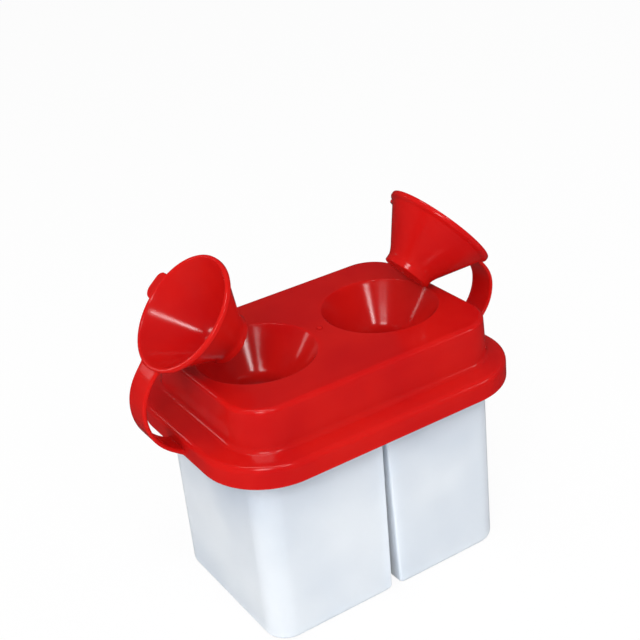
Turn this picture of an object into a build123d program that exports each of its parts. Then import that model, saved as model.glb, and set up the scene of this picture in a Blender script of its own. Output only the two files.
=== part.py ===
"""Brush washer with lid: a two-well water pot, its flanged lid and two hinged cone stoppers.

Millimetres, +Z up. The origin is the centre of the underside that the pot stands on, the long side
runs along X, and the stoppers stand half open, as they do while brushes rest in the holes.
"""

import os
from math import cos, hypot, radians, sin, tan

from build123d import *

# --- pot: one moulding with two wells that hang side by side from a common rim
POT_LENGTH = 100.0
POT_WIDTH = 69.2
POT_HEIGHT = 77.4
POT_CORNER = 9.0
POT_WALL = 1.4
POT_FLOOR = 1.6
POT_FOOT_ROUND = 2.0
FOOT_RING_WIDTH = 6.0
FOOT_RECESS = 0.8
MOUTH_ROUND = 0.5

# the tapering slot between the two wells, open below, in front and behind
SLOT_X = 1.0
SLOT_WIDTH_BELOW = 3.8
SLOT_WIDTH_ABOVE = 1.6
SLOT_TOP = 71.0
SLOT_EDGE_ROUND = 0.6
WELL_INNER_CORNER = 3.0

# the pot's rim, a flat flange that the lid's skirt drops over
RIM_REACH_END = 8.4
RIM_REACH_SIDE = 7.25
RIM_CORNER = 22.2
RIM_THICKNESS = 2.8
RIM_ROUND = 2.5

# --- lid
LID_WALL = 1.8
LID_SIDE_GAP = 0.5
LID_SEAT_GAP = 0.3
SKIRT_DEPTH = 9.6
SHOULDER_ROUND = 5.5
UNDER_SHOULDER_ROUND = 2.9
PLATEAU_LENGTH = 103.0
PLATEAU_WIDTH = 73.2
PLATEAU_CORNER = 14.0
PLATEAU_HEIGHT = 15.7
PLATEAU_SPREAD = 0.5
PLATEAU_ROUND = 1.5
PLATEAU_FOOT_ROUND = 2.2
GATE_RADIUS = 1.1
GATE_HEIGHT = 0.4

# the two funnels that the brushes go through
FUNNEL_SPACING = 52.2
FUNNEL_MOUTH_RADIUS = 21.5
FUNNEL_MOUTH_ROUND = 0.8
FUNNEL_HALF_ANGLE = 36.0
FUNNEL_WALL = 1.6
THROAT_RADIUS = 10.3
THROAT_LENGTH = 5.8

# --- stoppers: hollow cones with an upright band at the top, a short spigot below and a tab
BAND_SIDE_GAP = 0.4
BAND_HEIGHT = 2.3
BAND_ROUND = 0.5
BAND_STEP = 1.2
BAND_SEAT_GAP = 0.6
BAND_HOLLOW_DEPTH = 1.2
STOPPER_WALL = 1.3
CONE_DEPTH = 16.6
SPIGOT_HEIGHT = 3.3
SPIGOT_GAP = 1.1
SPIGOT_ROUND = 0.5
TAB_WIDTH = 10.0
TAB_REACH = 3.6
TAB_CORNER = 3.2
TAB_ANGLE = 7.0

# --- straps: flat bands from the lid's ends to the stoppers' bands
STRAP_WIDTH = 11.0
STRAP_THICKNESS = 1.4
STRAP_ROOT_RISE = 2.4
STRAP_ROOT_ANGLE = 24.0
STRAP_BELLY_RISE = 10.0
STRAP_BELLY_RIGHT = 13.3
STRAP_BELLY_LEFT = 11.5
STRAP_OVERLAP = 1.0
PAD_REACH = 0.8
PAD_HEIGHT = 6.0
PAD_RISE = 1.4
PAD_OVERLAP = 1.2
PIVOT_REACH_RIGHT = 1.25
PIVOT_DROP_RIGHT = 3.25
PIVOT_REACH_LEFT = 4.5
PIVOT_DROP_LEFT = 1.45
OPEN_ANGLE_RIGHT = 50.0
OPEN_ANGLE_LEFT = 44.7

# --- heights and sizes that follow from the values above
SEAT_Z = POT_HEIGHT + LID_SEAT_GAP
LEDGE_Z = SEAT_Z + LID_WALL
SKIRT_Z = LEDGE_Z - SKIRT_DEPTH
PLATEAU_Z = LEDGE_Z + PLATEAU_HEIGHT
RIM_LENGTH = POT_LENGTH + 2 * RIM_REACH_END
RIM_WIDTH = POT_WIDTH + 2 * RIM_REACH_SIDE
LID_GROWTH = LID_SIDE_GAP + LID_WALL
LID_LENGTH = RIM_LENGTH + 2 * LID_GROWTH
LID_WIDTH = RIM_WIDTH + 2 * LID_GROWTH
LID_CORNER = RIM_CORNER + LID_GROWTH
FUNNEL_X = FUNNEL_SPACING / 2
FUNNEL_DEPTH = (FUNNEL_MOUTH_RADIUS - THROAT_RADIUS) / tan(radians(FUNNEL_HALF_ANGLE))
BAND_RADIUS = FUNNEL_MOUTH_RADIUS - BAND_SIDE_GAP
BAND_TOP_Z = PLATEAU_Z + BAND_SEAT_GAP + BAND_HEIGHT
CONE_TOP_RADIUS = BAND_RADIUS - BAND_STEP
SPIGOT_RADIUS = THROAT_RADIUS - SPIGOT_GAP
CONE_SLOPE = (CONE_TOP_RADIUS - SPIGOT_RADIUS) / CONE_DEPTH
STOPPER_HEIGHT = BAND_HEIGHT + CONE_DEPTH + SPIGOT_HEIGHT
PIVOT_RIGHT = (LID_LENGTH / 2 + PIVOT_REACH_RIGHT, LEDGE_Z - PIVOT_DROP_RIGHT)
PIVOT_LEFT = (LID_LENGTH / 2 + PIVOT_REACH_LEFT, LEDGE_Z - PIVOT_DROP_LEFT)
PAD_X = LID_LENGTH / 2 + PAD_REACH
ABOVE = 1.0
NEAR = 1e-3
ROUND_SHARE = 0.9


def slab(length, width, corner, bottom, top):
    """A block with rounded upright corners between two heights."""
    outline = Pos(0, 0, bottom) * RectangleRounded(length, width, corner)
    return extrude(outline, top - bottom)


def edges_at(shape, height):
    """The edges that lie wholly at one height."""
    return shape.edges().filter_by_position(Axis.Z, height - NEAR, height + NEAR)


def well_outline(left, right, height, outer_on_left):
    """A well's outline at one height: wide corners outside, tight corners beside the slot."""
    sheet = Rectangle(right - left, POT_WIDTH - 2 * POT_WALL)
    ordered = sheet.vertices().sort_by(Axis.X)
    outer, inner = (ordered[:2], ordered[2:]) if outer_on_left else (ordered[2:], ordered[:2])
    sheet = fillet(outer, POT_CORNER - POT_WALL)
    chosen = [
        v for v in sheet.vertices() if any((v.center() - w.center()).length < NEAR for w in inner)
    ]
    sheet = fillet(chosen, WELL_INNER_CORNER)
    return Pos((left + right) / 2, 0, height) * sheet


def well(side):
    """The water space of one well, from its floor to the top of the wall between the wells."""
    far = side * (POT_LENGTH / 2 - POT_WALL)
    layers = []
    for height, slot_width in (
        (FOOT_RECESS + POT_FLOOR, SLOT_WIDTH_BELOW),
        (SLOT_TOP + POT_WALL, SLOT_WIDTH_ABOVE),
    ):
        near = SLOT_X + side * (slot_width / 2 + POT_WALL)
        layers.append(well_outline(min(far, near), max(far, near), height, side < 0))
    return loft(layers)


def pot_slot():
    """The gap between the wells, a wedge that narrows upwards and ends in a round."""
    half_below = SLOT_WIDTH_BELOW / 2
    half_above = SLOT_WIDTH_ABOVE / 2
    shoulder = SLOT_TOP - half_above
    points = [
        (SLOT_X - half_below, -ABOVE),
        (SLOT_X - half_above, shoulder),
        (SLOT_X, SLOT_TOP),
        (SLOT_X + half_above, shoulder),
        (SLOT_X + half_below, -ABOVE),
    ]
    lines = Line(points[0], points[1])
    lines += ThreePointArc(points[1], points[2], points[3])
    lines += Line(points[3], points[4])
    lines += Line(points[4], points[0])
    return extrude(Plane.XZ * make_face(lines), POT_WIDTH, both=True)


def foot_recess(side):
    """The shallow hollow under one well, so that it stands on a ring."""
    far = side * (POT_LENGTH / 2 - FOOT_RING_WIDTH)
    near = SLOT_X + side * (SLOT_WIDTH_BELOW / 2 + FOOT_RING_WIDTH)
    plate = RectangleRounded(abs(far - near), POT_WIDTH - 2 * FOOT_RING_WIDTH, POT_CORNER / 2)
    return extrude(Pos((far + near) / 2, 0, 0) * plate, FOOT_RECESS)


def make_container():
    """The milky pot with its two wells, the slot between them and the flat rim."""
    rim_bottom = POT_HEIGHT - RIM_THICKNESS
    body = slab(POT_LENGTH, POT_WIDTH, POT_CORNER, 0, POT_HEIGHT)
    body = fillet(edges_at(body, 0), POT_FOOT_ROUND)
    rim = slab(RIM_LENGTH, RIM_WIDTH, RIM_CORNER, rim_bottom, POT_HEIGHT)
    rim = fillet(edges_at(rim, POT_HEIGHT), min(RIM_ROUND, RIM_THICKNESS * ROUND_SHARE))
    body += rim
    body -= pot_slot() & slab(RIM_LENGTH, POT_WIDTH + ABOVE, POT_CORNER, -ABOVE, SLOT_TOP + ABOVE)
    upright = [
        e
        for e in body.edges()
        if abs(e.center().X - SLOT_X) < SLOT_WIDTH_BELOW
        and abs(abs(e.center().Y) - POT_WIDTH / 2) < NEAR
        and e.length > SLOT_TOP / 2
    ]
    body = fillet(upright, SLOT_EDGE_ROUND)
    for side in (-1, 1):
        body -= well(side)
        body -= foot_recess(side)
    mouth = slab(
        POT_LENGTH - 2 * POT_WALL,
        POT_WIDTH - 2 * POT_WALL,
        POT_CORNER - POT_WALL,
        SLOT_TOP + POT_WALL,
        POT_HEIGHT + ABOVE,
    )
    body -= mouth
    lip = [
        e
        for e in edges_at(body, POT_HEIGHT)
        if abs(e.center().X) < POT_LENGTH / 2 and abs(e.center().Y) < POT_WIDTH / 2
    ]
    return fillet(lip, MOUTH_ROUND)


def plateau(inset, bottom, top):
    """The raised middle of the lid, which widens downwards, drawn in by a wall's thickness."""
    layers = []
    for height in (bottom, top):
        spread = PLATEAU_SPREAD * (PLATEAU_Z - height) / PLATEAU_HEIGHT - inset
        outline = RectangleRounded(
            PLATEAU_LENGTH + 2 * spread, PLATEAU_WIDTH + 2 * spread, PLATEAU_CORNER + spread
        )
        layers.append(Pos(0, 0, height) * outline)
    return loft(layers)


def lid_shell():
    """Skirt, shoulder, ledge and plateau as one even wall."""
    flange = slab(LID_LENGTH, LID_WIDTH, LID_CORNER, SKIRT_Z, LEDGE_Z)
    flange = fillet(edges_at(flange, LEDGE_Z), SHOULDER_ROUND)
    top = plateau(0, LEDGE_Z - LID_WALL / 2, PLATEAU_Z)
    top = fillet(edges_at(top, PLATEAU_Z), PLATEAU_ROUND)
    outside = flange + top
    foot = [
        e
        for e in edges_at(outside, LEDGE_Z)
        if abs(e.center().X) < PLATEAU_LENGTH / 2 + 2 * PLATEAU_SPREAD
        and abs(e.center().Y) < PLATEAU_WIDTH / 2 + 2 * PLATEAU_SPREAD
    ]
    outside = fillet(foot, PLATEAU_FOOT_ROUND)
    under_flange = slab(
        LID_LENGTH - 2 * LID_WALL,
        LID_WIDTH - 2 * LID_WALL,
        LID_CORNER - LID_WALL,
        SKIRT_Z - ABOVE,
        SEAT_Z,
    )
    under_flange = fillet(edges_at(under_flange, SEAT_Z), UNDER_SHOULDER_ROUND)
    under_plateau = plateau(LID_WALL, SEAT_Z - ABOVE, PLATEAU_Z - LID_WALL)
    return outside - under_flange - under_plateau


def funnel_space(side):
    """The open way through one funnel, rounded at the mouth, with its straight throat."""
    mouth_z = PLATEAU_Z
    throat_z = mouth_z - FUNNEL_DEPTH
    slope = tan(radians(FUNNEL_HALF_ANGLE))
    cone = Pos(0, 0, (mouth_z + ABOVE + throat_z) / 2) * Cone(
        THROAT_RADIUS, FUNNEL_MOUTH_RADIUS + ABOVE * slope, FUNNEL_DEPTH + ABOVE
    )
    throat_end = throat_z - THROAT_LENGTH - ABOVE
    throat = Pos(0, 0, (throat_z + throat_end) / 2) * Cylinder(THROAT_RADIUS, throat_z - throat_end)
    return Pos(side * FUNNEL_X, 0, 0) * (cone + throat)


def funnel_body(side):
    """The wall of one funnel and its throat, before the way through is cut."""
    throat_z = PLATEAU_Z - FUNNEL_DEPTH
    wall_across = FUNNEL_WALL / cos(radians(FUNNEL_HALF_ANGLE))
    cone = Pos(0, 0, (PLATEAU_Z + throat_z) / 2) * Cone(
        THROAT_RADIUS + wall_across, FUNNEL_MOUTH_RADIUS + wall_across, FUNNEL_DEPTH
    )
    tube = Pos(0, 0, throat_z - THROAT_LENGTH / 2) * Cylinder(
        THROAT_RADIUS + FUNNEL_WALL, THROAT_LENGTH
    )
    return Pos(side * FUNNEL_X, 0, 0) * (cone + tube)


def strap_pad(side):
    """The small pad on the skirt's end that a strap grows from."""
    bottom = SKIRT_Z + PAD_RISE
    depth = PAD_REACH + PAD_OVERLAP
    block = Pos(side * (PAD_X - depth / 2), 0, bottom + PAD_HEIGHT / 2) * Box(
        depth, STRAP_WIDTH, PAD_HEIGHT
    )
    return block


def make_lid():
    """The red lid: shell, two funnels, strap pads and the gate mark in the middle."""
    lid = lid_shell()
    for side in (-1, 1):
        lid += funnel_body(side) & slab(PLATEAU_LENGTH, PLATEAU_WIDTH, PLATEAU_CORNER, 0, PLATEAU_Z)
        lid += strap_pad(side)
    for side in (-1, 1):
        lid -= funnel_space(side)
    mouths = [e for e in edges_at(lid, PLATEAU_Z) if e.geom_type == GeomType.CIRCLE]
    mouths = [e for e in mouths if abs(e.radius - FUNNEL_MOUTH_RADIUS) < NEAR]
    lid = fillet(mouths, FUNNEL_MOUTH_ROUND)
    lid += Pos(0, 0, PLATEAU_Z + GATE_HEIGHT / 2 - ABOVE / 2) * Cylinder(
        GATE_RADIUS, GATE_HEIGHT + ABOVE
    )
    return lid


def stopper_profile():
    """Half section of a stopper about its axis, with the band's upper edge at height zero."""
    wall_across = STOPPER_WALL * hypot(1, CONE_SLOPE)
    bottom = -STOPPER_HEIGHT
    hollow_bottom = bottom + STOPPER_WALL
    spigot_top = bottom + SPIGOT_HEIGHT
    cone_inside = CONE_TOP_RADIUS - wall_across
    end_inside = max(cone_inside + (hollow_bottom + BAND_HEIGHT) * CONE_SLOPE, SPIGOT_RADIUS / 2)
    corners = [
        (0, hollow_bottom),
        (end_inside, hollow_bottom),
        (cone_inside, -BAND_HEIGHT),
        (BAND_RADIUS - STOPPER_WALL, -min(BAND_HOLLOW_DEPTH, BAND_HEIGHT * ROUND_SHARE)),
        (BAND_RADIUS - STOPPER_WALL, 0),
        (BAND_RADIUS, 0),
        (BAND_RADIUS, -BAND_HEIGHT),
        (CONE_TOP_RADIUS, -BAND_HEIGHT),
        (SPIGOT_RADIUS, spigot_top),
        (SPIGOT_RADIUS, bottom + SPIGOT_ROUND),
        (SPIGOT_RADIUS - SPIGOT_ROUND, bottom),
        (0, bottom),
    ]
    return make_face(Polyline(*corners, close=True))


def finger_tab():
    """A flat tab on the band's side, with rounded corners."""
    inside = BAND_RADIUS - STOPPER_WALL / 2
    length = BAND_RADIUS + TAB_REACH - inside
    plate = Rectangle(TAB_WIDTH, length)
    corner = min(TAB_CORNER, length * ROUND_SHARE, TAB_WIDTH / 2 * ROUND_SHARE)
    plate = fillet(plate.vertices().sort_by(Axis.Y)[-2:], corner)
    tab = extrude(Pos(0, inside + length / 2, -BAND_HEIGHT) * plate, BAND_HEIGHT)
    tab -= Pos(0, 0, -BAND_HEIGHT / 2) * Cylinder(inside, 2 * BAND_HEIGHT)
    return Rot(0, 0, TAB_ANGLE) * tab


def make_stopper(side, opened, pivot):
    """A stopper turned about its pivot from the closed place by the angle that it stands open."""
    pivot_x, pivot_z = pivot
    cone = revolve(Plane.XZ * stopper_profile(), Axis.Z)
    edges = [
        e
        for e in cone.edges().filter_by(GeomType.CIRCLE)
        if abs(e.radius - BAND_RADIUS) < NEAR
    ]
    cone = fillet(edges, BAND_ROUND)
    cone += finger_tab()
    closed = Pos(FUNNEL_X - pivot_x, 0, BAND_TOP_Z - pivot_z) * cone
    turned = Pos(pivot_x, 0, pivot_z) * (Rot(0, opened, 0) * closed)
    return turned if side > 0 else mirror(turned, Plane.YZ)


def strap_path(opened, pivot, belly):
    """The strap's middle line on the side of +X: out of the pad, round its belly, to the stopper."""
    turn = radians(opened)
    pivot_x, pivot_z = pivot
    reach = FUNNEL_X + BAND_RADIUS - pivot_x
    rise = BAND_TOP_Z - BAND_HEIGHT / 2 - pivot_z
    cap = Vector(
        pivot_x + reach * cos(turn) + rise * sin(turn),
        0,
        pivot_z - reach * sin(turn) + rise * cos(turn),
    )
    root = Vector(PAD_X, 0, SKIRT_Z + STRAP_ROOT_RISE)
    middle = Vector(LID_LENGTH / 2 + belly, 0, LEDGE_Z + STRAP_BELLY_RISE)
    root_way = Vector(cos(radians(STRAP_ROOT_ANGLE)), 0, sin(radians(STRAP_ROOT_ANGLE)))
    cap_way = Vector(-cos(turn), 0, sin(turn))
    curve = Spline(root, middle, cap, tangents=(root_way, cap_way))
    start = Line(root - root_way * STRAP_OVERLAP, root)
    end = Line(cap, cap + cap_way * STRAP_OVERLAP)
    return start + curve + end, root - root_way * STRAP_OVERLAP, root_way


def make_strap(side, opened, pivot, belly, lid, stopper):
    """A flat strap from the pad on the skirt to the side of the stopper."""
    path, start, way = strap_path(opened, pivot, belly)
    section = Plane(origin=start, x_dir=(0, 1, 0), z_dir=way) * Rectangle(
        STRAP_WIDTH, STRAP_THICKNESS
    )
    band = sweep(section, path)
    if side < 0:
        band = mirror(band, Plane.YZ)
    pieces = (band - lid - stopper).solids()
    return pieces.sort_by(SortBy.VOLUME)[-1]


def main():
    """Builds every piece and writes one file for each."""
    os.makedirs("parts", exist_ok=True)
    lid = make_lid()
    pieces = {"container": make_container(), "lid": lid}
    for side, name, opened, pivot, belly in (
        (-1, "left", OPEN_ANGLE_LEFT, PIVOT_LEFT, STRAP_BELLY_LEFT),
        (1, "right", OPEN_ANGLE_RIGHT, PIVOT_RIGHT, STRAP_BELLY_RIGHT),
    ):
        stopper = make_stopper(side, opened, pivot)
        pieces[f"stopper_{name}"] = stopper
        pieces[f"strap_{name}"] = make_strap(side, opened, pivot, belly, lid, stopper)
    for name, piece in pieces.items():
        export_step(piece, f"parts/{name}.step")


main()
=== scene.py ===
"""Dresses a two-well brush washer in the frame of its CAD part.

A milky pot stands under a red flanged lid, whose two funnels take hollow cone stoppers that sit
open on flat straps. Sizes in the shape classes are millimetres in the row frame, with +Z up and
the pot standing on z = 0; the finishes and the studio say where they use metres. Every surface is
a grid of points worked out with numpy, and the grids are welded into closed meshes.
"""

import logging
import math
from dataclasses import dataclass, field
from enum import Enum
from typing import Any, Iterable, Union

import bpy
import numpy as np
from mathutils import Matrix


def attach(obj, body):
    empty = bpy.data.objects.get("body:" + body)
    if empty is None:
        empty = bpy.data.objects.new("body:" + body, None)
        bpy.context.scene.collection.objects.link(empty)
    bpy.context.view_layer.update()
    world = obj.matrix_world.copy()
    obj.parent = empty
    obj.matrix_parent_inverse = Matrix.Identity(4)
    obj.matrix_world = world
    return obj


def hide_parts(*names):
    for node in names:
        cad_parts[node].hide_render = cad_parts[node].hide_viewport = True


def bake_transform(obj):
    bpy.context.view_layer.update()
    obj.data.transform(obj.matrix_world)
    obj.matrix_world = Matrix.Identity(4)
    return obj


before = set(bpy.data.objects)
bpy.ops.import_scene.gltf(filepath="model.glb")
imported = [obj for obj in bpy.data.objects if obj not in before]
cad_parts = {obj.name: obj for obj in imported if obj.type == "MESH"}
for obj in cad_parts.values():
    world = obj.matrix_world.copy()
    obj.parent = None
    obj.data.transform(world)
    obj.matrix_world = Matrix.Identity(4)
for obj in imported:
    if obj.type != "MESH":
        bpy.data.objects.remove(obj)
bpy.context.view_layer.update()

logging.basicConfig(level=logging.INFO, format="%(name)s: %(message)s")
log = logging.getLogger("brush_washer")

MM = 0.001
WELD_MM = 0.002
WELD_OFFSET = 0.31337
SHARP_EDGE_DEG = 46.0

# Sockets of the Mix and Mix Shader nodes go by number, because several share one name.
MIX_SHARE = 0
MIX_VALUE_A, MIX_VALUE_B = 2, 3
MIX_COLOUR_A, MIX_COLOUR_B, MIX_COLOUR_OUT = 6, 7, 2
SHADER_A, SHADER_B = 1, 2

Pair = tuple[float, float]
Triple = tuple[float, float, float]
Colour = tuple[float, float, float, float]
Spans = tuple[int, int, int]
WHITE: Colour = (1.0, 1.0, 1.0, 1.0)


class Side(Enum):
    """The two ends of the washer, as the sign of X."""

    LEFT = -1
    RIGHT = 1

    @property
    def word(self) -> str:
        """The side's name as the CAD nodes spell it."""
        return self.name.lower()


# ---------------------------------------------------------------- curves and grids


def ellipse_arc(centre: Pair, reach: Pair, start: float, end: float, steps: int) -> np.ndarray:
    """Points on an ellipse: centre plus the two reaches times cosine and sine of the angle.

    Args:
        centre: the ellipse's centre in its plane.
        reach: half axes along the plane's two directions.
        start: first angle in degrees.
        end: last angle in degrees.
        steps: how many spans the arc has.

    Returns:
        An array of steps + 1 points, two columns.
    """
    angles = np.radians(np.linspace(start, end, steps + 1))
    return np.stack(
        [centre[0] + reach[0] * np.cos(angles), centre[1] + reach[1] * np.sin(angles)], axis=-1
    )


def arc(centre: Pair, radius: float, start: float, end: float, steps: int) -> np.ndarray:
    """Points on a circle: an ellipse's arc whose reaches are both the radius."""
    return ellipse_arc(centre, (radius, radius), start, end, steps)


def bend(corner: Pair, offsets: tuple[Pair, ...]) -> np.ndarray:
    """Points that ease an outline round a corner: the corner plus each offset."""
    return np.add(corner, offsets)


def joined(*parts: Iterable) -> np.ndarray:
    """Stacks point lists into one polyline and drops repeated neighbours.

    Args:
        parts: arrays or lists of points with the same number of columns.

    Returns:
        The polyline as an array.
    """
    line = np.concatenate([np.atleast_2d(np.asarray(p, float)) for p in parts])
    step = np.linalg.norm(np.diff(line, axis=0), axis=1)
    keep = np.concatenate([[True], step > WELD_MM])
    return line[keep]


def unit(vectors: np.ndarray) -> np.ndarray:
    """The vectors at length one."""
    return vectors / np.linalg.norm(vectors, axis=-1, keepdims=True)


def cosine_steps(count: int) -> np.ndarray:
    """Fractions from 0 to 1 that crowd towards both ends: (1 - cos(pi t)) / 2."""
    return (1 - np.cos(np.linspace(0, math.pi, count + 1))) / 2


def half_outline(
    half_x: np.ndarray, half_y: np.ndarray, corner: np.ndarray, spans: Spans
) -> np.ndarray:
    """The right half of a rounded rectangle, from (0, -y) round the right end to (0, y).

    Straight stretches run between the corner centres, and each corner is a quarter circle:
    its centre plus the radius times (cosine, sine). Every row has the same number of points,
    so rows of different sizes join into one surface.

    Args:
        half_x: half lengths, one for each row.
        half_y: half widths, one for each row.
        corner: corner radii, one for each row.
        spans: spans on the half length, on a corner and on the width.

    Returns:
        An array of rows x points x 2.
    """
    a, b, r = (np.asarray(v, float).reshape(-1, 1) for v in (half_x, half_y, corner))
    along, turn, across = spans
    long_t = cosine_steps(along)[None, :]
    side_t = cosine_steps(across)[None, :]
    low = np.radians(np.linspace(-90, 0, turn + 1))[None, 1:-1]
    high = low + math.pi / 2
    flat_x, flat_y = a - r, b - r
    x = np.concatenate(
        [
            long_t * flat_x,
            flat_x + r * np.cos(low),
            a + 0 * side_t,
            flat_x + r * np.cos(high),
            (1 - long_t) * flat_x,
        ],
        axis=1,
    )
    y = np.concatenate(
        [
            -b + 0 * long_t,
            -flat_y + r * np.sin(low),
            flat_y * (2 * side_t - 1),
            flat_y + r * np.sin(high),
            b + 0 * long_t,
        ],
        axis=1,
    )
    return np.stack([x, y], axis=-1)


def whole_outline(half: np.ndarray) -> np.ndarray:
    """A full closed outline: the right half, then its mirror image back to the start."""
    mirrored = half[:, -2:0:-1] * np.array([-1.0, 1.0])
    return np.concatenate([half, mirrored], axis=1)


def raised(outline: np.ndarray, height: np.ndarray | float) -> np.ndarray:
    """Gives each row of a plan outline its height, or all rows one height, as a third column."""
    z = np.broadcast_to(np.asarray(height, float).reshape(-1, 1, 1), outline.shape[:2] + (1,))
    return np.concatenate([outline, z], axis=-1)


def stood(right: np.ndarray, up: np.ndarray, back: np.ndarray, place: np.ndarray) -> Matrix:
    """The place and turn of a lamp or camera: its three axes and its place as columns."""
    columns = np.stack([right, up, back, place], axis=-1)
    return Matrix(np.vstack([columns, [0, 0, 0, 1]]).tolist())


def revolved(profile: np.ndarray, angles: np.ndarray) -> np.ndarray:
    """A profile turned about the Z axis: (r cos a, r sin a, z).

    Args:
        profile: rows of (radius, height).
        angles: angles round the axis, in radians.

    Returns:
        A grid of rows x angles x 3.
    """
    radius, height = profile[:, :1], profile[:, 1:]
    return np.stack(
        [radius * np.cos(angles), radius * np.sin(angles), height + 0 * angles], axis=-1
    )


class Skin:
    """Collects point grids in millimetres and welds them into one mesh in metres."""

    def __init__(self) -> None:
        """Starts with no points."""
        self.points: list[np.ndarray] = []
        self.quads: list[np.ndarray] = []
        self.count = 0

    def add(self, grid: np.ndarray, wrap: bool = False, flip: bool = False) -> "Skin":
        """Adds a surface given as rows x columns x 3 points.

        Args:
            grid: the surface's points.
            wrap: joins the last column to the first.
            flip: turns the faces over.

        Returns:
            The skin itself.
        """
        rows, columns = grid.shape[:2]
        index = np.arange(rows * columns).reshape(rows, columns) + self.count
        if wrap:
            index = np.concatenate([index, index[:, :1]], axis=1)
        quads = np.stack(
            [index[:-1, :-1], index[:-1, 1:], index[1:, 1:], index[1:, :-1]], axis=-1
        ).reshape(-1, 4)
        self.points.append(grid.reshape(-1, 3))
        self.quads.append(quads[:, ::-1] if flip else quads)
        self.count += rows * columns
        return self

    def build(self, name: str, material: bpy.types.Material) -> bpy.types.Object:
        """Welds the grids and makes the object.

        Points whose coordinates round to the same cell become one point, a quad that loses a
        corner that way becomes a triangle, and a line or a point is dropped.

        Args:
            name: the object's name.
            material: what the object is made of.

        Returns:
            The new object, at the origin, with its place in its mesh.
        """
        points = np.concatenate(self.points)
        cells = np.round(points / WELD_MM + WELD_OFFSET).astype(np.int64)
        _, first, back = np.unique(cells, axis=0, return_index=True, return_inverse=True)
        quads = back.reshape(-1)[np.concatenate(self.quads)]
        points = points[first] * MM
        keep = quads != np.roll(quads, -1, axis=1)
        sides = keep.sum(axis=1)
        crossed = (quads[:, 0] == quads[:, 2]) | (quads[:, 1] == quads[:, 3])
        good = (sides >= 3) & ~crossed
        corners = quads[good][keep[good]]
        starts = np.concatenate([[0], np.cumsum(sides[good])[:-1]])
        mesh = bpy.data.meshes.new(name)
        mesh.vertices.add(len(points))
        mesh.vertices.foreach_set("co", points.astype(np.float32).ravel())
        mesh.loops.add(len(corners))
        mesh.loops.foreach_set("vertex_index", corners.astype(np.int32))
        mesh.polygons.add(len(starts))
        mesh.polygons.foreach_set("loop_start", starts.astype(np.int32))
        mesh.update(calc_edges=True)
        mesh.validate()
        mesh.shade_smooth()
        mesh.set_sharp_from_angle(angle=math.radians(SHARP_EDGE_DEG))
        mesh.materials.append(material)
        piece = bpy.data.objects.new(name, mesh)
        bpy.context.scene.collection.objects.link(piece)
        log.info("%s: %d points, %d faces", name, len(points), len(starts))
        return piece


# ---------------------------------------------------------------- shader helpers

Operand = Union["Wire", float, int]


class Wire:
    """One output socket. Arithmetic on wires adds the Math nodes that compute it."""

    def __init__(self, tree: "Shader", socket: bpy.types.NodeSocket | None) -> None:
        """Keeps the shader and the socket, which an output node doesn't have."""
        self.tree = tree
        self.socket = socket

    def _math(self, operation: str, *values: Operand) -> "Wire":
        """Adds a Math node with that operation on those values."""
        return self.tree.add("ShaderNodeMath", {"operation": operation}, dict(enumerate(values)))

    def __add__(self, other: Operand) -> "Wire":
        """Sum."""
        return self._math("ADD", self, other)

    def __radd__(self, other: Operand) -> "Wire":
        """Sum with a number on the left."""
        return self._math("ADD", other, self)

    def __sub__(self, other: Operand) -> "Wire":
        """Difference."""
        return self._math("SUBTRACT", self, other)

    def __rsub__(self, other: Operand) -> "Wire":
        """Difference from a number on the left."""
        return self._math("SUBTRACT", other, self)

    def __mul__(self, other: Operand) -> "Wire":
        """Product."""
        return self._math("MULTIPLY", self, other)

    def __rmul__(self, other: Operand) -> "Wire":
        """Product with a number on the left."""
        return self._math("MULTIPLY", other, self)

    def absolute(self) -> "Wire":
        """Size without its sign."""
        return self._math("ABSOLUTE", self)

    def ramp(self, low: float, high: float) -> "Wire":
        """0 below low, 1 above high, and smooth between them."""
        return self.tree.add(
            "ShaderNodeMapRange",
            {"interpolation_type": "SMOOTHSTEP"},
            {"Value": self, "From Min": low, "From Max": high, "To Min": 0.0, "To Max": 1.0},
        )


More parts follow.
